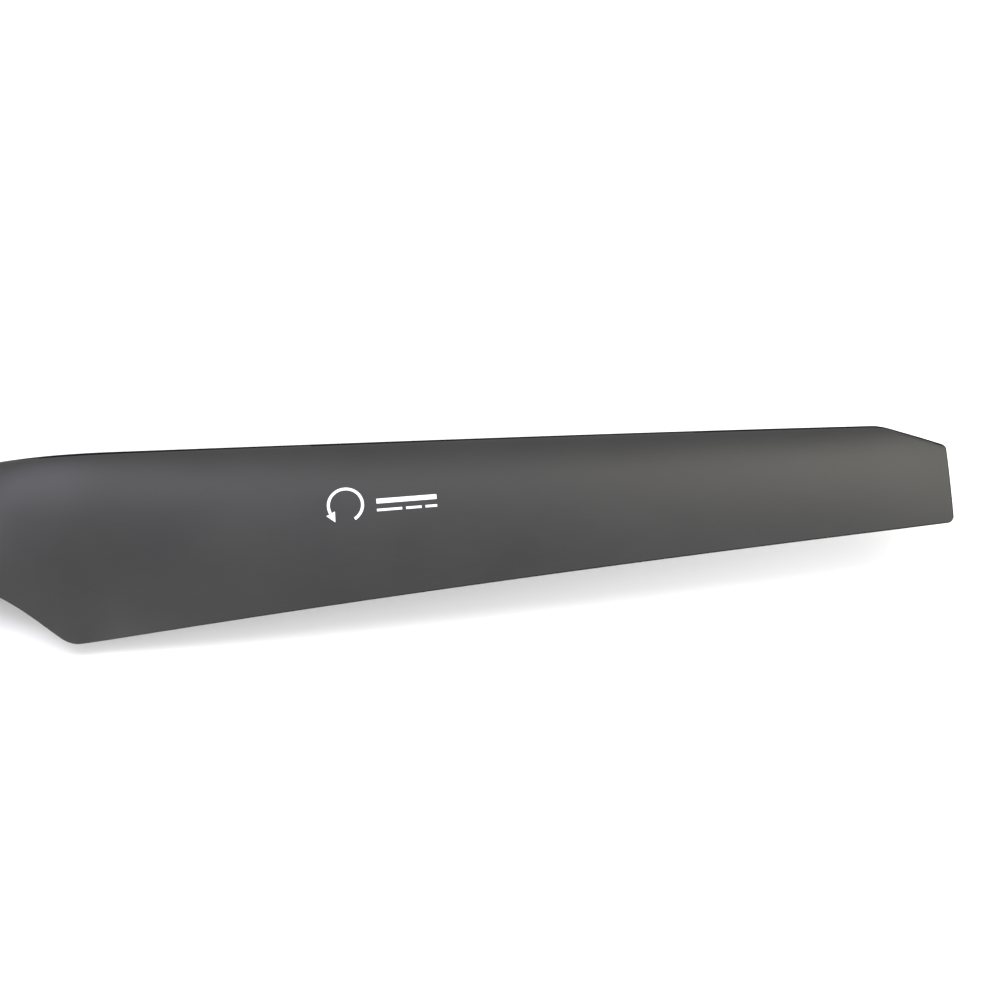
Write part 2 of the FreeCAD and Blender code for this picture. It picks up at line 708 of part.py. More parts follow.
def half_points(radius, side):
    """Outline and mid line of the upper (1) or lower (-1) half."""
    upper = run_of_points(radius, 1, SIDE_POINTS)
    lower = run_of_points(radius, -1, SIDE_POINTS)
    outline = []
    levels = []
    lift = side * size.seam / 2.0
    for over, under in zip(upper, lower):
        edge = over if side > 0 else under
        outline.append((edge[0], edge[1] + lift))
        levels.append((edge[0], (over[1] + under[1]) / 2.0 + lift))
    middle = [levels[0]]
    for number in range(1, SIDE_POINTS):
        along = mix(levels[0][0], levels[-1][0], number / float(SIDE_POINTS))
        middle.append((along, height_at(levels, along)))
    middle.append(levels[-1])
    return outline, middle


def place_point(radius, along, height):
    """Turn a section point by the twist and lift it to the blade axis."""
    angle = twist(radius)
    return Vector(
        radius - size.pivot_offset,
        along * math.cos(angle) - height * math.sin(angle),
        along * math.sin(angle) + height * math.cos(angle) + rise(radius))


def even_steps(points):
    """Equal steps, so that every section of a loft has the same knots."""
    return [number / (len(points) - 1.0) for number in range(len(points))]


def spline_edge(points, steps):
    """A smooth edge through points at given steps."""
    curve = Part.BSplineCurve()
    curve.interpolate(Points=points, Parameters=steps)
    return curve.toShape()


def half_wire(radius, side):
    """Closed section of the upper or lower half of the blade."""
    outline, middle = half_points(radius, side)
    outer = [place_point(radius, *point) for point in outline]
    inner = [place_point(radius, *point) for point in reversed(middle)]
    return Part.Wire([
        spline_edge(outer, even_steps(outer)),
        spline_edge(inner, even_steps(inner)),
        Part.makeLine(inner[-1], outer[0]),
    ])


def inner_wire(radius, depth):
    """Closed section of the hollow, a skin and a glue line deep."""
    dense = 120
    upper = run_of_points(radius, 1, dense)
    lower = run_of_points(radius, -1, dense)
    front_edge = leading_edge(radius)
    back_edge = trailing_edge(radius)
    chord = front_edge - back_edge
    share = foil_share(radius)
    front = front_edge - mix(0.0, size.nose_share * chord, share) - depth - SHANK_INSET
    back = back_edge + mix(0.0, size.tail_share * chord, share) + depth + SHANK_INSET
    top = []
    bottom = []
    count = 14
    for number in range(count + 1):
        along = mix(front, back, number / count)
        high = height_at(upper, along) - depth
        low = height_at(lower, along) + depth
        if high - low < 0.3:
            raise RuntimeError("the hollow closes at radius %g" % radius)
        top.append(place_point(radius, along, high))
        bottom.append(place_point(radius, along, low))
    bottom.reverse()
    return Part.Wire([
        spline_edge(top, even_steps(top)),
        Part.makeLine(top[-1], bottom[0]),
        spline_edge(bottom, even_steps(bottom)),
        Part.makeLine(bottom[-1], top[0]),
    ])


def radii(runs):
    """Station radii from (first, last, step) runs."""
    result = []
    for first, last, step in runs:
        radius = first
        while radius <= last + 1e-6:
            result.append(radius)
            radius += step
    return result


ROOT_RUNS = [(58.0, 64.0, 2.0), (70.0, 124.0, 6.0)]
CORNER_RUNS = [(129.0, 133.0, 4.0), (136.0, 146.0, 2.0), (149.0, 159.0, 5.0)]
SPAN_RUNS = [(167.0, 167.0, 1.0), (180.0, 200.0, 20.0), (240.0, 540.0, 50.0)]
TIP_RUNS = [(550.0, 556.0, 6.0), (560.0, 572.0, 3.0), (580.0, 604.0, 8.0)]
BLADE_STATIONS = radii(ROOT_RUNS + CORNER_RUNS + SPAN_RUNS + TIP_RUNS)


def make_half_blade(side):
    """Solid upper or lower half of the blade outside the eye."""
    return Part.makeLoft([half_wire(radius, side) for radius in BLADE_STATIONS], True)


def make_inner_blade(depth, last):
    """Solid that fills the hollow from the shank to a radius."""
    first = size.shank_end - 2.0
    chosen = [radius for radius in BLADE_STATIONS if first + 3 < radius < last - 3]
    chosen = [first] + chosen + [last]
    return Part.makeLoft([inner_wire(radius, depth) for radius in chosen], True)


def make_eye(depth):
    """Round eye and plain shank up to the radius where the blade widens."""
    radius = size.shank_half_width - depth
    half = size.shank_thickness / 2.0 - depth
    length = size.shank_end - size.pivot_offset
    disc = Part.makeCylinder(radius, 2.0 * half, Vector(0, 0, -half))
    bar = Part.makeBox(length, 2.0 * radius, 2.0 * half, Vector(0, -radius, -half))
    eye = disc.fuse(bar).removeSplitter()
    if depth > 0:
        return eye
    rims = []
    for edge in eye.Edges:
        box = edge.BoundBox
        flat = abs(box.ZMax - box.ZMin) < 1e-6
        if flat and box.XMin < length - 1e-3:
            rims.append(edge)
    return eye.makeFillet(size.shank_corner, rims)


def make_half_eye(side):
    """Upper or lower half of the eye and shank."""
    level = side * size.eye_seam / 2.0
    tool = Part.makeBox(400, 400, 100, Vector(-200, -200, level))
    if side < 0:
        tool = Part.makeBox(400, 400, 100, Vector(-200, -200, level - 100))
    return make_eye(0.0).common(tool)


def tip_trim():
    """Flat tool with the raked tip edge and its rounded corners."""
    offset = size.pivot_offset
    tip = size.tip_radius
    start = size.tip_cut_radius
    front = leading_edge(tip)
    front_tip = tip + size.tip_rake
    back_tip = tip - size.tip_rake
    outline = [
        Vector(start - offset, front + size.tip_cut_slope * (tip - start) + TRIM, -100),
        Vector(front_tip - offset, leading_edge(front_tip) + TRIM, -100),
        Vector(back_tip - offset, trailing_edge(back_tip) - TRIM, -100),
        Vector(start - offset, trailing_edge(start) - TRIM, -100),
        Vector(start - offset, -150, -100),
        Vector(-100, -150, -100),
        Vector(-100, 150, -100),
        Vector(start - offset, 150, -100),
    ]
    outline.append(outline[0])
    prism = Part.Face(Part.makePolygon(outline)).extrude(Vector(0, 0, 200))
    corners = []
    for edge in prism.Edges:
        box = edge.BoundBox
        if box.XMin > start - offset + 5 and box.ZLength > 100:
            corners.append(edge)
    return prism.makeFillet(size.tip_corner, corners)


# ------------------------------------------------------------- blade pieces

def cylinder_hole(diameter):
    """Tool for a hole along the fold axis."""
    return Part.makeCylinder(diameter / 2.0, 200, Vector(0, 0, -100))


def slab(first, last):
    """Tool that keeps what lies between two radii."""
    return Part.makeBox(last - first, 400, 200,
                        Vector(first - size.pivot_offset, -200, -100))


def make_skin(side):
    """Upper or lower carbon skin, open where the bush goes through."""
    half = make_half_blade(side).common(tip_trim())
    half = half.fuse(make_half_eye(side))
    half = half.cut(cylinder_hole(size.bush_seat))
    half = half.cut(make_inner_blade(size.skin, size.core_end + 1.0))
    return half.cut(make_eye(size.skin))


def make_root_block(filler):
    """Solid block that carries the bush and the blade's pull."""
    block = filler.common(slab(0.0, size.block_end))
    block = block.fuse(make_eye(size.skin + size.bond))
    return block.cut(cylinder_hole(size.bush_seat))


def spar_tool(extra):
    """Upright wall along the blade, a little wider when extra is given."""
    first = size.block_end - 5.0
    last = size.core_end + 5.0
    corners = []
    for radius, offset, width, side in (
            (first, size.spar_root_offset, size.spar_root_width, 1),
            (last, size.spar_tip_offset, size.spar_tip_width, 1),
            (last, size.spar_tip_offset, size.spar_tip_width, -1),
            (first, size.spar_root_offset, size.spar_root_width, -1)):
        along = offset + side * (width / 2.0 + extra)
        corners.append(Vector(radius - size.pivot_offset, along, -100))
    corners.append(corners[0])
    return Part.Face(Part.makePolygon(corners)).extrude(Vector(0, 0, 200))


def make_cores(filler):
    """Spar, front core and rear core that fill the blade past the block."""
    outer = filler.common(slab(size.block_end + 2.0 * size.bond, size.tip_radius))
    spar = outer.common(spar_tool(0.0))
    cores = outer.cut(spar_tool(size.bond)).Solids
    if len(cores) != 2:
        raise RuntimeError("the spar does not part the core in two")
    cores.sort(key=lambda core: core.CenterOfMass.y)
    return spar, cores[1], cores[0]


def single_solid(shape):
    """The one solid inside a boolean result."""
    if len(shape.Solids) != 1:
        raise RuntimeError("expected one solid, found %d" % len(shape.Solids))
    return shape.Solids[0]


def place_on_blade(piece, side):
    """Move a piece from the blade's frame to blade a or blade b."""
    turn = 0 if side == "a" else 180
    piece.Placement = Placement(Vector(0, 0, 0), Rotation(Vector(0, 0, 1), turn))
    sign = "" if side == "a" else "-"
    piece.setExpression("Placement.Base.x", sign + "Dims.pivot_offset")
    piece.setExpression("Placement.Base.z", "Dims.blade_height")


def make_blades():
    """Two equal blades, each of nine pieces."""
    filler = make_inner_blade(size.skin + size.bond, size.core_end)
    spar, front, rear = make_cores(filler)
    shapes = [
        ("blade_upper_skin_", make_skin(1)),
        ("blade_lower_skin_", make_skin(-1)),
        ("root_block_", make_root_block(filler)),
        ("blade_spar_", spar),
        ("front_core_", front),
        ("rear_core_", rear),
    ]
    half = "Dims.shank_thickness / 2"
    for side in ("a", "b"):
        for name, shape in shapes:
            piece = doc.addObject("Part::Feature", name + side)
            piece.Label = name + side
            piece.Shape = single_solid(shape)
            pieces.append(piece)
            place_on_blade(piece, side)
        place_on_blade(make_ring("root_bush_" + side, "-" + half,
                                 "Dims.shank_thickness", "Dims.bush_size",
                                 "Dims.bush_bore"), side)
        place_on_blade(make_ring("upper_friction_washer_" + side, half,
                                 "Dims.friction_thickness", "Dims.friction_size",
                                 "Dims.friction_bore"), side)
        place_on_blade(make_ring("lower_friction_washer_" + side,
                                 "-%s - Dims.friction_thickness" % half,
                                 "Dims.friction_thickness", "Dims.friction_size",
                                 "Dims.friction_bore"), side)


# ------------------------------------------------------------------- output

def check_and_export():
    """Stop on any faulty object, then write one STEP file a piece."""
    doc.recompute()
    for item in doc.Objects:
        if "Invalid" in item.State or "Error" in item.State:
            raise RuntimeError("%s: %s" % (item.Name, item.State))
    os.makedirs("parts", exist_ok=True)
    for piece in pieces:
        shape = piece.Shape
        if shape.isNull() or not shape.isValid():
            raise RuntimeError("%s has a bad shape" % piece.Label)
        if len(shape.Solids) != 1:
            raise RuntimeError("%s is not one solid" % piece.Label)
        shape.exportStep("parts/%s.step" % piece.Label)


make_hub()
make_blades()
check_and_export()
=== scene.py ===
import math

import bmesh
import bpy
from mathutils import Matrix, Vector


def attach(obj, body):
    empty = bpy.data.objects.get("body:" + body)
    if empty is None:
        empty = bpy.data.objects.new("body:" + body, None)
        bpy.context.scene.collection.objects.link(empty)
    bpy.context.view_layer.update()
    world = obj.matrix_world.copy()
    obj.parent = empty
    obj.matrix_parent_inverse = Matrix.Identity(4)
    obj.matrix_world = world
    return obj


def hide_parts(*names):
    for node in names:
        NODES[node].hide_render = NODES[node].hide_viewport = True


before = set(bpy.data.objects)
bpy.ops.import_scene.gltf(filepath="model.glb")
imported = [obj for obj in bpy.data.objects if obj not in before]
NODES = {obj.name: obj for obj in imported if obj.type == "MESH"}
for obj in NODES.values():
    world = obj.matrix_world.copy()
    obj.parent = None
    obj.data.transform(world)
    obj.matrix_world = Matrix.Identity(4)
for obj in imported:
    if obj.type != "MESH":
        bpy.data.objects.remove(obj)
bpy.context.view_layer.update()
MM = 0.001
UV_SCALE = 10.0 * MM

# Blade shape, the same formulas as the CAD.  Millimetres, with r the radius from
# the hub's axis and places across the blade counted forward from the blade's axis.
TIP = 597.0
TIP_RAKE = 1.2
TIP_HALF_CHORD = 23.0
TIP_CORNER = 3.0
TIP_ROUND = 0.9
TIP_BLUNT = 0.3
CUT_START = 566.0
CUT_SLOPE = 0.50
CUT_BLEND = 2.5
CUT_ROUND = 4.0
LEAD_FULL = 107.0
LEAD_OFFSET = 43.0
LEAD_TAPER = 8.6
LEAD_BOW = 9.5
TRAIL_BEND = 61.0
TRAIL_SLOPE = 0.84
TRAIL_CORNER = 140.7
TRAIL_OFFSET = 56.9
TRAIL_TAPER = 30.2
TRAIL_BOW = 5.2
CORNER_BLEND = 5.0
SHANK_END = 62.0
SHANK_HALF = 18.0
SHANK_HEIGHT = 8.0
SHANK_ROUND = 3.0
SECTION_FULL = 114.0
TWIST_FULL = 163.0
PITCH = 432.0
RISE_MIDDLE = 100.0
RISE_BEND = 15.0
RISE_SLOPE = math.tan(math.radians(1.0))
RATIO_ROOT = 0.115
RATIO_TIP = 0.078
THIN_START = 556.0
TIP_THINNING = 0.35
CAMBER = 0.045
CAMBER_PLACE = 0.4
EDGE_HALF = 0.6
PIVOT = 40.0
BLADE_HEIGHT = 30.0
BUSH_SEAT = 8.05
DRILL_REACH = 20.0
TOUCHING = 1e-6

# Skins: laminate, the gap between them, and the solid edges round the hollow.
SKIN = 0.8
SEAM = 0.12
HOLLOW_END = 572.0
FRONT_SOLID = 0.05
REAR_SOLID = 0.17
HOLLOW_SLOPE = 4.0
TRAVEL_STEPS = 56

# Runs of sections as first radius, last radius and spacing, the radii where the
# skins close at the tip, then the sections round the eye, by angle in degrees.
STATION_RUNS = ((40, 62, 2.75), (62, 122, 2), (122, 152, 1), (152, 560, 4),
                (560, 592, 1), (592, 595.8, 0.38))
TIP_STATIONS = (595.8, 596.1, 596.3, 596.5, 596.68, 596.82, 596.92, 596.98, 597.0)
EYE_STATIONS = 12
EYE_FIRST = 88.5
EYE_TURN = 7.375

# Trimmed rim: its depth in from the front edge and how much faster depth counts
# at the back and at the tip, then where it fades in along the blade, in metres.
RIM_DEPTH = 1.8
RIM_BACK = 2.0
RIM_TIP = 3.6
RIM_START = 0.085
RIM_RUN = 0.06

# Print on the upper skins: where the arrow's ring is centred, the sizes of the
# ring and the arrow head, and how far the print lies above the skin.
MARK_RADIUS = 284.0
MARK_PLACE = 1.6
RING_RADIUS = 8.8
RING_FROM = -60.0
RING_TO = 205.0
RING_STEPS = 36
RING_WIDTH = 1.5
ARROW_LENGTH = 5.0
ARROW_WIDTH = 5.0
ARROW_POINT = 0.15
ARROW_GAP = 0.3
ARROW_STEPS = 6
PRINT_ACROSS = 3
PRINT_LOW = 0.01
PRINT_HIGH = 0.05

# Fold bolt and its locking nut, with heights above the motor face.
KNURL_RADIUS = 6.5
KNURL_DEPTH = 0.22
SOCKET_FLATS = 6.0
NUT_FLATS = 13.0
THREAD_RADIUS = 3.98
THREAD_PITCH = 1.25
THREAD_DEPTH = 0.62
THREAD_FLANK = 2.4
THREAD_TOP = 16.2
THREAD_END = 2.9

# Rubbed corners on the dark metal: their radius in metres and how bright they get.
WEAR_RADIUS = 0.0005
WEAR_SHARE = 0.6

# Floor and camera in metres and degrees, with the lens and its sensor in millimetres.
FLOOR_REACH = 12.0
FLOOR_DROP = 0.0003
SKY = 0.78
LENS = 85.0
SENSOR = 36.0
CAMERA_AZIMUTH = -4.67
CAMERA_ELEVATION = 57.5
CAMERA_DISTANCE = 1.2212
CAMERA_TARGET = (0.3637, -0.0007, 0.037)

HALF_TURN = Matrix.Rotation(math.pi, 4, "Z")


def ramp(share):
    share = min(1.0, max(0.0, share))
    return share * share * (3.0 - 2.0 * share)


def mix(first, second, share):
    return first + (second - first) * share


def soft_min(first, second, softness):
    near = max(softness - abs(first - second), 0.0) / softness
    return min(first, second) - near * near * softness / 4.0


def foil_share(r):
    """0 on the shank, 1 where the blade is a full wing section."""
    return ramp((r - SHANK_END) / (SECTION_FULL - SHANK_END))


def twist_share(r):
    """0 on the shank, 1 where the twist follows the helix."""
    return ramp((r - SHANK_END) / (TWIST_FULL - SHANK_END))


def corner_loss(r):
    """How much a tip corner takes off each edge."""
    past = TIP_CORNER - (TIP - r)
    if past <= 0.0:
        return 0.0
    return TIP_CORNER - math.sqrt(max(0.0, TIP_CORNER ** 2 - past ** 2))


def whole_edge(r):
    """Leading edge as it would run without the tip cut."""
    share = max(0.0, (r - LEAD_FULL) / (TIP - LEAD_FULL))
    taper = LEAD_OFFSET - LEAD_TAPER * share - LEAD_BOW * share * share
    return mix(SHANK_HALF, taper, ramp((r - SHANK_END) / (LEAD_FULL - SHANK_END)))


def leading_edge(r):
    cut = whole_edge(CUT_START) - CUT_SLOPE * (r - CUT_START)
    return soft_min(whole_edge(r), cut, CUT_BLEND)


def trailing_edge(r):
    past = max(0.0, r - SHANK_END)
    if past < TRAIL_BEND:
        drop = TRAIL_SLOPE * past * past / (2.0 * TRAIL_BEND)
    else:
        drop = TRAIL_SLOPE * (past - TRAIL_BEND / 2.0)
    share = (r - TRAIL_CORNER) / (TIP - TRAIL_CORNER)
    taper = TRAIL_OFFSET - TRAIL_TAPER * share + TRAIL_BOW * share * share
    return -soft_min(SHANK_HALF + drop, taper, CORNER_BLEND)


def twist(r):
    return math.atan(PITCH / (2.0 * math.pi * r)) * twist_share(r)


def rise(r):
    """Height gained by the blade's axis, level first and then at a slope."""
    past = r - RISE_MIDDLE
    if past < -RISE_BEND:
        return 0.0
    if past < RISE_BEND:
        return RISE_SLOPE * (past + RISE_BEND) ** 2 / (4.0 * RISE_BEND)
    return RISE_SLOPE * past


def thickness(r):
    share = min(1.0, max(0.0, (r - TWIST_FULL) / (TIP - TWIST_FULL)))
    thin = 1.0 - TIP_THINNING * ramp((r - THIN_START) / (TIP - THIN_START))
    return mix(RATIO_ROOT, RATIO_TIP, share) * (whole_edge(r) - trailing_edge(r)) * thin


def camber(r, share):
    """Height of the mid line at a share of the chord from the front."""
    chord = whole_edge(r) - trailing_edge(r)
    rising = 2.0 * CAMBER_PLACE * share - share * share
    if share < CAMBER_PLACE:
        curve = rising / CAMBER_PLACE ** 2
    else:
        curve = (1.0 - 2.0 * CAMBER_PLACE + rising) / (1.0 - CAMBER_PLACE) ** 2
    return CAMBER * chord * curve * foil_share(r)


def cut_rounding(r, along):
    """How much the rounded edge of the tip cut takes off the thickness."""
    front = leading_edge(r)
    width = min(CUT_ROUND, whole_edge(r) - front)
    if width < TOUCHING or front - along >= width:
        return 1.0
    return math.sqrt(max(0.0, 1.0 - (1.0 - max(0.0, front - along) / width) ** 2))


def foil_half(r, share):
    """Half thickness of the four-digit wing section, with a blunt back edge."""
    wing = (0.2969 * math.sqrt(share) - 0.1260 * share - 0.3516 * share ** 2
            + 0.2843 * share ** 3 - 0.1015 * share ** 4)
    return 5.0 * thickness(r) * wing + EDGE_HALF * share


def shank_run(front, back, travel):
    """Rounded bar, from the back round the top to the front."""
    upright = SHANK_HEIGHT - SHANK_ROUND
    first = upright - EDGE_HALF
    bend = SHANK_ROUND * math.pi / 2.0
    flat = front - back - 2.0 * SHANK_ROUND
    past = travel * (first + bend + flat + bend + upright)
    if past < first:
        return back, EDGE_HALF + past
    past -= first
    if past < bend:
        angle = past / SHANK_ROUND
        return (back + SHANK_ROUND * (1.0 - math.cos(angle)),
                upright + SHANK_ROUND * math.sin(angle))
    past -= bend
    if past < flat:
        return back + SHANK_ROUND + past, SHANK_HEIGHT
    past -= flat
    if past < bend:
        angle = past / SHANK_ROUND
        return (front - SHANK_ROUND * (1.0 - math.sin(angle)),
                upright + SHANK_ROUND * math.cos(angle))
    return front, max(0.0, upright - (past - bend))


def eye_section(r, travel):
    """Section through the round end of the eye."""
    along, half = shank_run(SHANK_HALF, -SHANK_HALF, travel)
    inward = PIVOT - r
    width = math.sqrt(max(0.0, SHANK_HALF ** 2 - inward * inward))
    place = along / SHANK_HALF * width
    if abs(along) < SHANK_HALF - 1e-9:
        past = math.hypot(inward, place) - (SHANK_HALF - SHANK_ROUND)
        half = SHANK_HEIGHT
        if past > 0.0:
            half -= SHANK_ROUND
            half += math.sqrt(max(0.0, SHANK_ROUND ** 2 - past * past))
    return place, 0.0, half


def section(r, travel):
    """Chord place, mid height and half height of a section."""
    if r < PIVOT:
        return eye_section(r, travel)
    share = foil_share(r)
    loss = corner_loss(r)
    front = leading_edge(r) - loss
    back = trailing_edge(r) + loss
    bar = shank_run(front, back, travel)
    place = (1.0 - travel) ** 2
    foil = mix(front, back, place)
    whole = whole_edge(r)
    place = min(1.0, max(0.0, (whole - foil) / (whole - trailing_edge(r))))
    level = camber(r, place) * share
    half = mix(bar[1], foil_half(r, place) * cut_rounding(r, foil), share)
    from_tip = (TIP - r) / TIP_ROUND
    if from_tip < 1.0:
        bow = math.sqrt(max(0.0, 1.0 - (1.0 - from_tip) ** 2))
        half *= mix(TIP_BLUNT, 1.0, bow)
    return mix(bar[0], foil, share), level, half


def blade_point(r, along, height):
    """Point of blade a in the frame, in metres."""
    angle = twist(r)
    middle = (leading_edge(r) + trailing_edge(r)) / 2.0
    rake = TIP_RAKE * (along - middle) / TIP_HALF_CHORD
    rake *= ramp((r - CUT_START) / (TIP - CUT_START))
    return Vector((
        r + rake,
        along * math.cos(angle) - height * math.sin(angle),
        along * math.sin(angle) + height * math.cos(angle) + rise(r) + BLADE_HEIGHT,
    )) * MM


def blade_stations():
    """Radii of the sections: closer together where the outline bends."""
    result = [PIVOT - SHANK_HALF * math.sin(math.radians(EYE_FIRST - EYE_TURN * k))
              for k in range(EYE_STATIONS)]
    for first, last, spacing in STATION_RUNS:
        steps = int(round((last - first) / spacing))
        result += [first + (last - first) * k / steps for k in range(steps)]
    return result + list(TIP_STATIONS)


def hollow_half(r, along, half):
    """Half height of the hollow at one place, 0 where the skin is solid."""
    if r > HOLLOW_END:
        return 0.0
    share = foil_share(r)
    chord = leading_edge(r) - trailing_edge(r)
    front = leading_edge(r) - FRONT_SOLID * chord * share - SKIN
    back = trailing_edge(r) + REAR_SOLID * chord * share + SKIN
    if r < PIVOT:
        width = math.sqrt(max(0.0, SHANK_HALF ** 2 - (PIVOT - r) ** 2)) - SKIN
        front = width
        back = -width
    room = min(front - along, along - back)
    if room <= 0.0:
        return 0.0
    return max(0.0, min(half - SKIN, room * HOLLOW_SLOPE))


def rim_depth(r, along):
    """Depth in from the outline; it counts faster at the back and the tip."""
    front = leading_edge(r) - along
    back = RIM_BACK * (along - trailing_edge(r))
    return min(front, back, RIM_TIP * (TIP - r))


def skin_points(side):
    """Points with both UV values, and rows of point numbers outside and inside."""
    points = []
    outer = []
    inner = []

    def add(r, along, height):
        place = (r * UV_SCALE, along * UV_SCALE)
        points.append((blade_point(r, along, height), place, (rim_depth(r, along), 0.0)))
        return len(points) - 1

    for r in blade_stations():
        out_row = []
        in_row = []
        for k in range(TRAVEL_STEPS + 1):
            along, level, half = section(r, k / TRAVEL_STEPS)
            base = level + side * SEAM / 2.0
            out_row.append(add(r, along, base + side * half))
            if k == TRAVEL_STEPS and half < TOUCHING:
                in_row.append(out_row[-1])
            else:
                in_row.append(add(r, along, base + side * hollow_half(r, along, half)))
        outer.append(out_row)
        inner.append(in_row)
    return points, outer, inner


def skin_faces(outer, inner, side):
    """Faces outside, inside, along both edges and across both ends."""
    faces = []

    def add(*corners):
        loop = list(dict.fromkeys(corners))
        if len(loop) > 2:
            faces.append(loop if side > 0 else loop[::-1])

    last = len(outer) - 1
    end = TRAVEL_STEPS
    for i in range(last):
        for k in range(TRAVEL_STEPS):
            add(outer[i][k], outer[i + 1][k], outer[i + 1][k + 1], outer[i][k + 1])
            add(inner[i][k], inner[i][k + 1], inner[i + 1][k + 1], inner[i + 1][k])
        add(outer[i][0], inner[i][0], inner[i + 1][0], outer[i + 1][0])
        add(outer[i][end], outer[i + 1][end], inner[i + 1][end], inner[i][end])
    for k in range(TRAVEL_STEPS):
        add(inner[last][k], inner[last][k + 1], outer[last][k + 1], outer[last][k])
    faces.append(outer[0] + [v for v in inner[0][::-1] if v not in outer[0]])
    return faces


def skin_mesh(name, side):
    """Closed shell of one skin: side 1 is the upper, -1 the lower."""
    points, outer, inner = skin_points(side)
    mesh = bpy.data.meshes.new(name)
    mesh.from_pydata([tuple(point[0]) for point in points], [],
                     skin_faces(outer, inner, side))
    for number, layer_name in ((1, "blade"), (2, "edge")):
        layer = mesh.uv_layers.new(name=layer_name)
        for loop in mesh.loops:
            layer.data[loop.index].uv = points[loop.vertex_index][number]
    mesh.validate()
    return mesh


def wrapped(name, rows, steps, through=False):
    """Solid round Z from (height, radius) rows; a radius can depend on the angle.

    A solid with a hole through it closes its last row onto its first.
    """
    work = bmesh.new()
    rings = []
    for height, radius in rows:
        ring = []
        for k in range(steps):
            a = 2.0 * math.pi * k / steps
            size = radius(a) if callable(radius) else radius
            ring.append(work.verts.new((size * math.cos(a) * MM,
                                        size * math.sin(a) * MM, height * MM)))
        rings.append(ring)
    if through:
        rings.append(rings[0])
    for low, high in zip(rings, rings[1:]):
        for k in range(steps):
            j = (k + 1) % steps
            work.faces.new([low[k], low[j], high[j], high[k]])
    if not through:
        for ring, (height, _) in ((rings[0], rows[0]), (rings[-1], rows[-1])):
            middle = work.verts.new((0.0, 0.0, height * MM))
            for k in range(steps):
                work.faces.new([ring[k], ring[(k + 1) % steps], middle])
    bmesh.ops.recalc_face_normals(work, faces=work.faces)
    mesh = bpy.data.meshes.new(name)
    work.to_mesh(mesh)
    work.free()
    return mesh


def clean(mesh, angle=35.0):
    """Outward normals, smooth faces, sharp edges where it bends."""
    work = bmesh.new()
    work.from_mesh(mesh)
    bmesh.ops.remove_doubles(work, verts=work.verts, dist=1e-7)
    bmesh.ops.recalc_face_normals(work, faces=work.faces)
    work.to_mesh(mesh)
    work.free()
    mesh.shade_smooth()
    mesh.set_sharp_from_angle(angle=math.radians(angle))
    return mesh


def add_object(name, data):
    obj = bpy.data.objects.new(name, data)
    bpy.context.scene.collection.objects.link(obj)
    return obj


def cut_hole(mesh, radius):
    """The mesh with a round hole along blade a's fold axis."""
    target = add_object("uncut", mesh)
    ends = [(-DRILL_REACH, radius), (DRILL_REACH, radius)]
    drill = clean(wrapped("drill", ends, 96))
    drill.transform(Matrix.Translation((PIVOT * MM, 0.0, BLADE_HEIGHT * MM)))
    tool = add_object("drill", drill)
    cutter = target.modifiers.new("hole", "BOOLEAN")
    cutter.object = tool
    cutter.operation = "DIFFERENCE"
    cutter.solver = "EXACT"
    graph = bpy.context.evaluated_depsgraph_get()
    result = bpy.data.meshes.new_from_object(target.evaluated_get(graph))
    bpy.data.objects.remove(target)
    bpy.data.objects.remove(tool)
    return result


def mark_rim(mesh):
    """Second material on the faces along the outline of the blade."""
    depth = mesh.uv_layers["edge"].data
    for polygon in mesh.polygons:
        deepest = max(depth[loop].uv[0] for loop in polygon.loop_indices)
        outward = ramp((abs(polygon.center.x) - RIM_START) / RIM_RUN)
        if deepest < RIM_DEPTH * outward:
            polygon.material_index = 1


def on_blades(stem, mesh, material, replaces=None, rim=None):
    """Put a blade piece on blade a and a turned copy on blade b."""
    for side in ("a", "b"):
        data = mesh if side == "a" else mesh.copy()
        if side == "b":
            data.transform(HALF_TURN)
        obj = add_object("%s_%s" % (stem, side), data)
        obj.data.materials.clear()
        obj.data.materials.append(material)
        if rim:
            obj.data.materials.append(rim)
            mark_rim(obj.data)
        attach(obj, "blade_" + side)
        if replaces:
            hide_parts(replaces + side)


# ---------------------------------------------------------------- materials

def new_material(name, base, rough, metal=0.0):
    material = bpy.data.materials.new(name)
    material.use_nodes = True
    tree = material.node_tree
    shader = tree.nodes["Principled BSDF"]
    shader.inputs["Base Color"].default_value = (*base, 1.0)
    shader.inputs["Roughness"].default_value = rough
    shader.inputs["Metallic"].default_value = metal
    return material, tree, shader


def noise(tree, vector, scale, detail, rough=0.55):
    node = tree.nodes.new("ShaderNodeTexNoise")
    node.inputs["Scale"].default_value = scale
    node.inputs["Detail"].default_value = detail
    node.inputs["Roughness"].default_value = rough
    tree.links.new(vector, node.inputs["Vector"])
    return node.outputs["Fac"]


def map_range(tree, value, low, high, to_low, to_high):
    node = tree.nodes.new("ShaderNodeMapRange")
    node.inputs["From Min"].default_value = low
    node.inputs["From Max"].default_value = high
    node.inputs["To Min"].default_value = to_low
    node.inputs["To Max"].default_value = to_high
    tree.links.new(value, node.inputs["Value"])
    return node.outputs["Result"]


def colour_mix(tree, factor, first, second):
    node = tree.nodes.new("ShaderNodeMix")
    node.data_type = "RGBA"
    tree.links.new(factor, node.inputs[0])
    for socket, colour in ((node.inputs[6], first), (node.inputs[7], second)):
        if isinstance(colour, tuple):
            socket.default_value = (*colour, 1.0)
        else:
            tree.links.new(colour, socket)
    return node.outputs[2]


def math_node(tree, kind, first, second):
    node = tree.nodes.new("ShaderNodeMath")
    node.operation = kind
    for socket, value in ((node.inputs[0], first), (node.inputs[1], second)):
        if hasattr(value, "links"):
            tree.links.new(value, socket)
        else:
            socket.default_value = value
    return node.outputs[0]


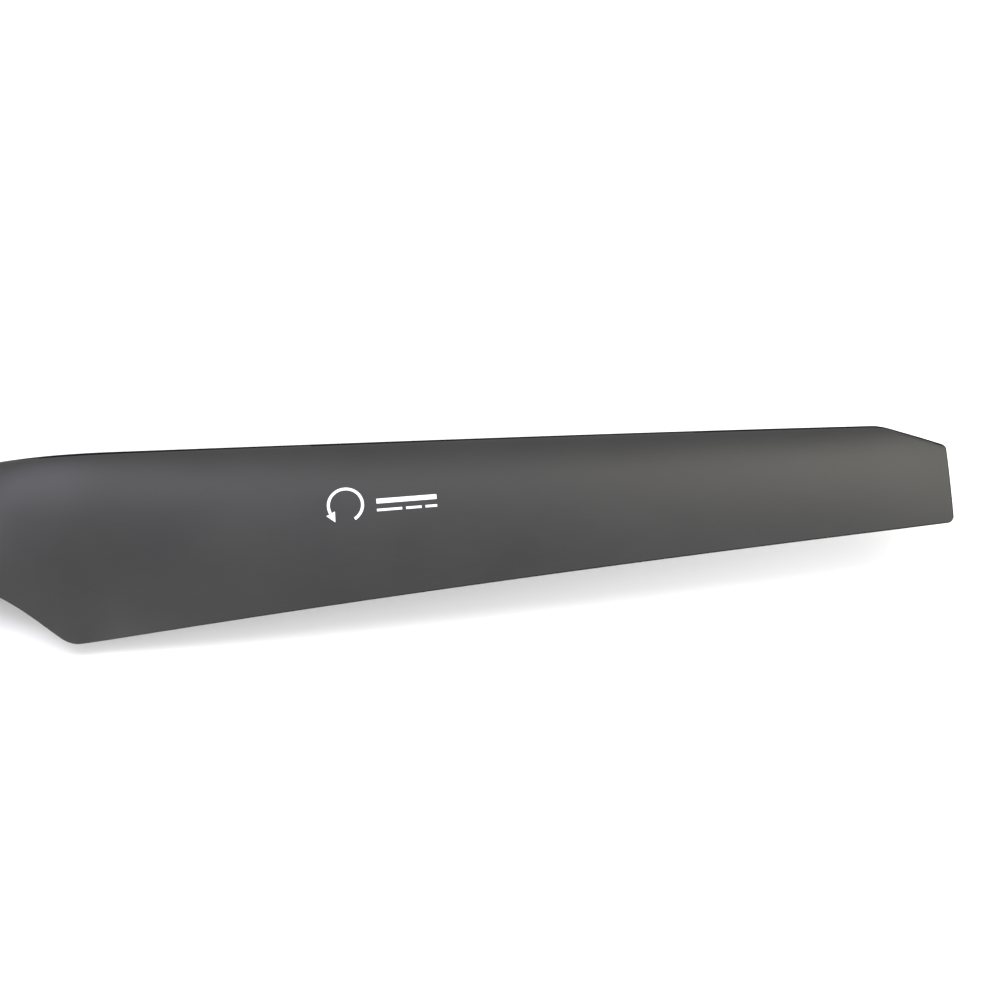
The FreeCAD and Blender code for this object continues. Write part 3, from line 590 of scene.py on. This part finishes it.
def bump(tree, shader, height, strength, distance):
    node = tree.nodes.new("ShaderNodeBump")
    node.inputs["Strength"].default_value = strength
    node.inputs["Distance"].default_value = distance
    tree.links.new(height, node.inputs["Height"])
    tree.links.new(node.outputs["Normal"], shader.inputs["Normal"])


def object_coords(tree):
    return tree.nodes.new("ShaderNodeTexCoord").outputs["Object"]


def stretched(tree, vector, scale, turn=0.0):
    node = tree.nodes.new("ShaderNodeMapping")
    node.inputs["Scale"].default_value = scale
    node.inputs["Rotation"].default_value = (0.0, 0.0, math.radians(turn))
    tree.links.new(vector, node.inputs["Vector"])
    return node.outputs["Vector"]


def carbon_material():
    """Satin moulded carbon laminate: faint fibre, fine mould grain."""
    material, tree, shader = new_material("satin_carbon", (0.022, 0.022, 0.023), 0.42)
    uv = tree.nodes.new("ShaderNodeUVMap")
    uv.uv_map = "blade"
    flat = uv.outputs["UV"]
    space = object_coords(tree)
    cloud = noise(tree, space, 14.0, 4.0)
    fibre = noise(tree, stretched(tree, flat, (2.5, 90.0, 1.0), 4.0), 3.0, 5.0, 0.65)
    fleck = noise(tree, stretched(tree, flat, (60.0, 260.0, 1.0), -12.0), 1.5, 2.0)
    grey = colour_mix(tree, map_range(tree, cloud, 0.3, 0.7, 0.0, 1.0),
                      (0.012, 0.012, 0.013), (0.017, 0.017, 0.017))
    grey = colour_mix(tree, map_range(tree, fibre, 0.45, 0.75, 0.0, 0.35),
                      grey, (0.024, 0.024, 0.025))
    grey = colour_mix(tree, map_range(tree, fleck, 0.6, 0.8, 0.0, 0.30),
                      grey, (0.030, 0.030, 0.031))
    rough = math_node(tree, "ADD", map_range(tree, cloud, 0.3, 0.7, 0.40, 0.46),
                      map_range(tree, fibre, 0.3, 0.7, -0.015, 0.02))
    tree.links.new(grey, shader.inputs["Base Color"])
    tree.links.new(rough, shader.inputs["Roughness"])
    grain = noise(tree, space, 2600.0, 2.0)
    height = math_node(tree, "ADD", math_node(tree, "MULTIPLY", fibre, 0.35),
                       math_node(tree, "MULTIPLY", grain, 0.65))
    bump(tree, shader, height, 0.10, 0.0002)
    return material


def rim_material():
    """Trimmed laminate edge: dull, near black, finely scratched along it."""
    material, tree, shader = new_material("sanded_rim", (0.004, 0.004, 0.004), 0.8)
    shader.inputs["Specular IOR Level"].default_value = 0.08
    space = object_coords(tree)
    scratch = noise(tree, stretched(tree, space, (12.0, 300.0, 300.0)), 9.0, 4.0)
    grain = noise(tree, space, 1500.0, 2.0)
    tree.links.new(colour_mix(tree, map_range(tree, scratch, 0.4, 0.75, 0.0, 1.0),
                              (0.003, 0.003, 0.003), (0.010, 0.010, 0.010)),
                   shader.inputs["Base Color"])
    tree.links.new(map_range(tree, grain, 0.3, 0.7, 0.72, 0.88),
                   shader.inputs["Roughness"])
    bump(tree, shader, scratch, 0.15, 0.0001)
    return material


def print_material():
    """White pad print, a little worn."""
    material, tree, shader = new_material("white_print", (0.80, 0.80, 0.79), 0.5)
    space = object_coords(tree)
    wear = noise(tree, space, 900.0, 4.0)
    cloud = noise(tree, space, 60.0, 3.0)
    white = colour_mix(tree, map_range(tree, wear, 0.62, 0.75, 0.0, 0.5),
                       (0.80, 0.80, 0.85), (0.45, 0.45, 0.45))
    tree.links.new(white, shader.inputs["Base Color"])
    tree.links.new(map_range(tree, cloud, 0.3, 0.7, 0.42, 0.56),
                   shader.inputs["Roughness"])
    bump(tree, shader, wear, 0.08, 0.00005)
    return material


def edge_wear(tree, space):
    """1 on corners rubbed bright, broken up by noise, 0 elsewhere."""
    soft = tree.nodes.new("ShaderNodeBevel")
    soft.samples = 6
    soft.inputs["Radius"].default_value = WEAR_RADIUS
    here = tree.nodes.new("ShaderNodeNewGeometry")
    turn = tree.nodes.new("ShaderNodeVectorMath")
    turn.operation = "DOT_PRODUCT"
    tree.links.new(soft.outputs["Normal"], turn.inputs[0])
    tree.links.new(here.outputs["Normal"], turn.inputs[1])
    corner = map_range(tree, turn.outputs["Value"], 0.90, 0.99, 1.0, 0.0)
    broken = map_range(tree, noise(tree, space, 260.0, 4.0), 0.42, 0.62, 0.0, 1.0)
    return math_node(tree, "MULTIPLY", corner, broken)


def metal_material(name, dark, light, rough, turned=True, metal=1.0, worn=None):
    """Machined metal: fine tool marks, slight stains, rubbed corners."""
    material, tree, shader = new_material(name, light, rough, metal)
    space = object_coords(tree)
    stain = noise(tree, space, 70.0, 4.0)
    marks = noise(tree, stretched(tree, space, (1.0, 1.0, 60.0)), 120.0, 2.0)
    lines = noise(tree, stretched(tree, space, (40.0, 1.0, 1.0), 8.0), 55.0, 3.0)
    tone = colour_mix(tree, map_range(tree, stain, 0.35, 0.7, 0.0, 1.0), dark, light)
    if worn:
        wear = math_node(tree, "MULTIPLY", edge_wear(tree, space), WEAR_SHARE)
        tone = colour_mix(tree, wear, tone, worn)
    tree.links.new(tone, shader.inputs["Base Color"])
    fine = marks if turned else lines
    dull = map_range(tree, stain, 0.3, 0.7, rough - 0.05, rough + 0.05)
    grain = map_range(tree, fine, 0.3, 0.7, -0.04, 0.04)
    tree.links.new(math_node(tree, "ADD", dull, grain), shader.inputs["Roughness"])
    bump(tree, shader, fine, 0.12, 0.00008)
    return material


def plastic_material(name, dark, light, rough):
    """Plain engineering plastic with a fine grain."""
    material, tree, shader = new_material(name, light, rough)
    space = object_coords(tree)
    cloud = noise(tree, space, 90.0, 3.0)
    grain = noise(tree, space, 1800.0, 2.0)
    tree.links.new(colour_mix(tree, map_range(tree, cloud, 0.3, 0.7, 0.0, 1.0),
                              dark, light), shader.inputs["Base Color"])
    tree.links.new(map_range(tree, cloud, 0.3, 0.7, rough - 0.05, rough + 0.06),
                   shader.inputs["Roughness"])
    bump(tree, shader, grain, 0.10, 0.0001)
    return material


def foam_material():
    """Closed-cell foam: pale, matt, with small cells."""
    material, tree, shader = new_material("core_foam", (0.85, 0.82, 0.72), 0.85)
    space = object_coords(tree)
    cells = tree.nodes.new("ShaderNodeTexVoronoi")
    cells.inputs["Scale"].default_value = 1400.0
    tree.links.new(space, cells.inputs["Vector"])
    cloud = noise(tree, space, 40.0, 3.0)
    tree.links.new(colour_mix(tree, map_range(tree, cloud, 0.3, 0.7, 0.0, 1.0),
                              (0.80, 0.76, 0.65), (0.88, 0.85, 0.76)),
                   shader.inputs["Base Color"])
    bump(tree, shader, cells.outputs["Distance"], 0.4, 0.0002)
    return material


CARBON = carbon_material()
RIM = rim_material()
PRINT = print_material()
ANODISED = metal_material("black_anodised", (0.018, 0.018, 0.020),
                          (0.030, 0.030, 0.033), 0.38, False, 0.85,
                          (0.16, 0.16, 0.17))
BLACK_OXIDE = metal_material("black_oxide", (0.030, 0.029, 0.028),
                             (0.055, 0.054, 0.052), 0.34,
                             worn=(0.22, 0.21, 0.20))
ZINC = metal_material("zinc_plate", (0.55, 0.56, 0.57), (0.70, 0.71, 0.72), 0.30)
BRONZE = metal_material("bearing_bronze", (0.50, 0.31, 0.12), (0.66, 0.43, 0.18), 0.34)
SLIP = plastic_material("slip_washer", (0.62, 0.60, 0.54), (0.72, 0.70, 0.64), 0.35)
NYLON = plastic_material("nylon_insert", (0.05, 0.12, 0.32), (0.07, 0.16, 0.40), 0.4)
BLOCK = plastic_material("root_block_plastic", (0.030, 0.030, 0.030),
                         (0.045, 0.045, 0.045), 0.55)
FOAM = foam_material()

CAD_MATERIALS = {
    "lower_clamp": ANODISED, "upper_clamp": ANODISED,
    "locating_dowel": ZINC, "bolt_washer": ZINC, "pivot_sleeve": ZINC,
    "nut_washer": ZINC, "root_bush": BRONZE,
    "upper_friction_washer": SLIP, "lower_friction_washer": SLIP,
    "root_block": BLOCK, "blade_spar": BLOCK, "front_core": FOAM,
    "rear_core": FOAM, "pivot_bolt": BLACK_OXIDE, "pivot_nut": ZINC,
    "blade_upper_skin": CARBON, "blade_lower_skin": CARBON,
}
for node_name, node in NODES.items():
    stem = node_name if node_name in CAD_MATERIALS else node_name[:-2]
    node.data.materials.clear()
    node.data.materials.append(CAD_MATERIALS[stem])
    node.data.shade_smooth()
    node.data.set_sharp_from_angle(angle=math.radians(30.0))

# ------------------------------------------------------------------- blades

for side, stem in ((1, "blade_upper_skin"), (-1, "blade_lower_skin")):
    skin = clean(cut_hole(clean(skin_mesh(stem, side)), BUSH_SEAT))
    on_blades(stem + "_shell", skin, CARBON, stem + "_", RIM)


# -------------------------------------------------------------------- print

def top_point(r, along, lift):
    """Point of the upper skin at a chord place, raised by lift."""
    low = 0.0
    high = 1.0
    for _ in range(40):
        middle = (low + high) / 2.0
        if section(r, middle)[0] < along:
            low = middle
        else:
            high = middle
    _, level, half = section(r, (low + high) / 2.0)
    return blade_point(r, along, level + SEAM / 2.0 + half + lift)


def print_strip(work, path, width_at):
    """A closed thin strip along a path of (radius, chord place)."""
    rows = []
    count = len(path)
    for number, (r, s) in enumerate(path):
        before = path[max(0, number - 1)]
        after = path[min(count - 1, number + 1)]
        dr = after[0] - before[0]
        ds = after[1] - before[1]
        length = math.hypot(dr, ds)
        side_r = -ds / length
        side_s = dr / length
        half = width_at(number / (count - 1.0)) / 2.0
        row = []
        for k in range(PRINT_ACROSS + 1):
            offset = mix(-half, half, k / PRINT_ACROSS)
            place = (r + side_r * offset, s + side_s * offset)
            row.append((work.verts.new(top_point(*place, PRINT_LOW)),
                        work.verts.new(top_point(*place, PRINT_HIGH))))
        rows.append(row)
    for first, second in zip(rows, rows[1:]):
        for k in range(PRINT_ACROSS):
            for layer in (0, 1):
                loop = [first[k][layer], second[k][layer],
                        second[k + 1][layer], first[k + 1][layer]]
                work.faces.new(loop if layer else loop[::-1])
        for k in (0, PRINT_ACROSS):
            work.faces.new([first[k][0], second[k][0], second[k][1], first[k][1]])
    for row in (rows[0], rows[-1]):
        for k in range(PRINT_ACROSS):
            work.faces.new([row[k][0], row[k + 1][0], row[k + 1][1], row[k][1]])


def bar_path(first, last, place):
    """Points 1 mm apart from one radius to another, at one chord place."""
    steps = max(2, int(last - first))
    return [(mix(first, last, k / steps), place) for k in range(steps + 1)]


def ring_place(angle, reach=0.0):
    """Place on the arrow's ring, or past it along the ring's direction there."""
    across = math.cos(angle)
    along = math.sin(angle)
    return (MARK_RADIUS + RING_RADIUS * across - along * reach,
            MARK_PLACE + RING_RADIUS * along + across * reach)


def rotation_mark():
    """Generic print: a curved turning arrow and plain bars."""
    work = bmesh.new()
    ring = [ring_place(math.radians(mix(RING_FROM, RING_TO, k / RING_STEPS)))
            for k in range(RING_STEPS + 1)]
    print_strip(work, ring, lambda share: RING_WIDTH)
    end = math.radians(RING_TO)
    head = [ring_place(end, ARROW_GAP + ARROW_LENGTH * k / ARROW_STEPS)
            for k in range(ARROW_STEPS + 1)]
    print_strip(work, head, lambda share: mix(ARROW_WIDTH, ARROW_POINT, share))
    for first, last, place, width in ((300, 331, 2.4, 2.6), (300, 313, -2.4, 1.3),
                                      (315, 323, -2.4, 1.3), (325, 331, -2.4, 1.3)):
        print_strip(work, bar_path(first, last, place), lambda share, w=width: w)
    bmesh.ops.recalc_face_normals(work, faces=work.faces)
    mesh = bpy.data.meshes.new("rotation_mark")
    work.to_mesh(mesh)
    work.free()
    return mesh


on_blades("rotation_mark", rotation_mark(), PRINT)


# ------------------------------------------------------------ hub fasteners

def hexagon(flats):
    """Radius of a hexagon with corners along X."""
    def radius(a):
        turn = (a + math.pi / 6.0) % (math.pi / 3.0) - math.pi / 6.0
        return flats / 2.0 / math.cos(math.pi / 6.0 - abs(turn))
    return radius


def cut_by(radius, limit):
    return lambda a: min(radius(a), limit)


def knurl(a):
    """Radius of the straight knurling round the head."""
    return KNURL_RADIUS - KNURL_DEPTH * abs(math.sin(18.0 * a))


def thread(height):
    """Radius of an M8 thread at one height."""
    def radius(a):
        turn = (height / THREAD_PITCH - a / (2.0 * math.pi)) % 1.0
        cut = max(0.0, 1.0 - abs(turn - 0.5) * THREAD_FLANK)
        return THREAD_RADIUS - THREAD_DEPTH * cut
    return radius


def bolt_mesh():
    """Knurled cap screw: hexagon socket, plain shank, threaded end."""
    socket = hexagon(SOCKET_FLATS)
    rows = [(51.0, lambda a: 0.35 * socket(a)), (50.9, socket), (54.3, socket),
            (54.62, lambda a: max(3.62, socket(a))), (54.9, 3.95), (54.9, 5.45),
            (54.78, 5.85), (54.3, 6.3), (53.9, knurl), (48.0, knurl), (47.4, 6.3),
            (47.0, 6.1), (46.9, 5.9), (46.9, 4.3), (46.7, 4.05),
            (46.2, THREAD_RADIUS), (16.4, THREAD_RADIUS)]
    height = THREAD_TOP
    while height > THREAD_END:
        rows.append((height, thread(height)))
        height -= THREAD_PITCH / 10.0
    rows += [(2.8, 3.4), (2.2, 3.1), (1.95, 2.7), (1.9, 2.2)]
    return wrapped("pivot_bolt", rows, 144)


def nut_mesh():
    """Locking nut: chamfered hexagon and a plain round collar."""
    flats = hexagon(NUT_FLATS)
    rows = [(12.6, 4.6), (12.6, 6.25), (12.45, cut_by(flats, 6.6)),
            (12.05, cut_by(flats, 7.15)), (11.75, flats), (7.1, flats),
            (6.75, cut_by(flats, 7.1)), (6.3, cut_by(flats, 6.6)), (6.2, 6.3),
            (6.2, 6.05), (6.0, 5.9), (5.0, 5.9), (4.7, 5.75), (4.6, 5.5),
            (4.6, 5.15), (4.75, 4.95), (4.85, 4.9), (6.3, 4.9), (6.4, 4.3),
            (6.6, 4.04), (12.2, 4.04)]
    return wrapped("pivot_nut", rows, 96, True)


def insert_mesh():
    """Nylon ring held in the collar of the nut."""
    rows = [(4.95, 4.85), (6.2, 4.85), (6.28, 4.75), (6.28, 4.15), (6.1, 4.02),
            (5.1, 4.02), (4.9, 4.15), (4.85, 4.35), (4.85, 4.7)]
    return wrapped("nut_insert", rows, 72, True)


def hub_piece(name, mesh, material, replaced):
    """Put a piece on the hub in place of a CAD node."""
    obj = add_object(name, mesh)
    obj.data.materials.clear()
    obj.data.materials.append(material)
    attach(obj, "hub")
    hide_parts(replaced)


for side, x in (("a", PIVOT), ("b", -PIVOT)):
    for stem, make, material, slot, node_stem in (
            ("pivot_bolt_cap", bolt_mesh, BLACK_OXIDE, "bolt_steel", "pivot_bolt_"),
            ("pivot_nut_body", nut_mesh, ZINC, "zinc_steel", "pivot_nut_"),
            ("nut_insert", insert_mesh, NYLON, "nylon_insert", "pivot_nut_")):
        mesh = make()
        mesh.transform(Matrix.Translation((x * MM, 0.0, 0.0)))
        clean(mesh, 30.0)
        hub_piece("%s_%s" % (stem, side), mesh, material, node_stem + side)


# -------------------------------------------------------- floor, light, camera

def stage_floor():
    """White floor just under the motor face."""
    mesh = bpy.data.meshes.new("floor")
    far = FLOOR_REACH
    mesh.from_pydata([(-far, -far, 0), (far, -far, 0), (far, far, 0), (-far, far, 0)],
                     [], [(0, 1, 2, 3)])
    floor = add_object("floor", mesh)
    floor.location.z = -FLOOR_DROP
    material, _, shader = new_material("white_floor", (0.93, 0.93, 0.93), 0.7)
    shader.inputs["Specular IOR Level"].default_value = 0.1
    mesh.materials.append(material)


def area_light(name, place, target, width, depth, power, colour=(1.0, 1.0, 1.0)):
    """Rectangular lamp at a place, turned to face a target."""
    data = bpy.data.lights.new(name, "AREA")
    data.shape = "RECTANGLE"
    data.size = width
    data.size_y = depth
    data.energy = power
    data.color = colour
    lamp = add_object(name, data)
    lamp.location = place
    aim = Vector(target) - Vector(place)
    lamp.rotation_euler = aim.to_track_quat("-Z", "Y").to_euler()


def studio():
    """Even white sky, two soft boxes overhead and three small fills in front."""
    world = bpy.data.worlds.new("studio")
    world.use_nodes = True
    background = world.node_tree.nodes["Background"]
    background.inputs["Color"].default_value = (1.0, 1.0, 1.0, 1.0)
    background.inputs["Strength"].default_value = SKY
    bpy.context.scene.world = world
    area_light("left_softbox", (-0.45, 0.45, 1.45), (0.1, 0.0, 0.0), 0.8, 1.3, 13.0,
               (0.94, 0.93, 1.10))
    area_light("right_softbox", (1.15, 0.52, 1.40), (0.6, 0.0, 0.0), 0.9, 1.3, 14.0,
               (1.05, 1.02, 0.88))
    area_light("front_fill", (0.36, -1.6, 0.8), (0.36, 0.0, 0.0), 1.8, 0.8, 1.5)
    area_light("root_fill", (-0.20, -0.50, 0.16), (0.04, -0.03, 0.0), 0.25, 0.15, 2.2)
    area_light("tip_fill", (0.85, -0.50, 0.18), (0.55, 0.0, 0.0), 0.30, 0.15, 5.5)


def camera():
    """Camera on the blade's side of the hub, looking down on the upper skin."""
    data = bpy.data.cameras.new("camera")
    data.lens = LENS
    data.sensor_width = SENSOR
    data.clip_start = 0.05
    data.clip_end = 60.0
    cam = add_object("camera", data)
    azimuth = math.radians(CAMERA_AZIMUTH)
    elevation = math.radians(CAMERA_ELEVATION)
    back = Vector((math.sin(azimuth) * math.cos(elevation),
                   -math.cos(azimuth) * math.cos(elevation), math.sin(elevation)))
    cam.location = Vector(CAMERA_TARGET) + back * CAMERA_DISTANCE
    cam.rotation_mode = "QUATERNION"
    cam.rotation_quaternion = (-back).to_track_quat("-Z", "Y")
    bpy.context.scene.camera = cam


stage_floor()
studio()
camera()
bpy.context.scene.view_settings.view_transform = "Standard"
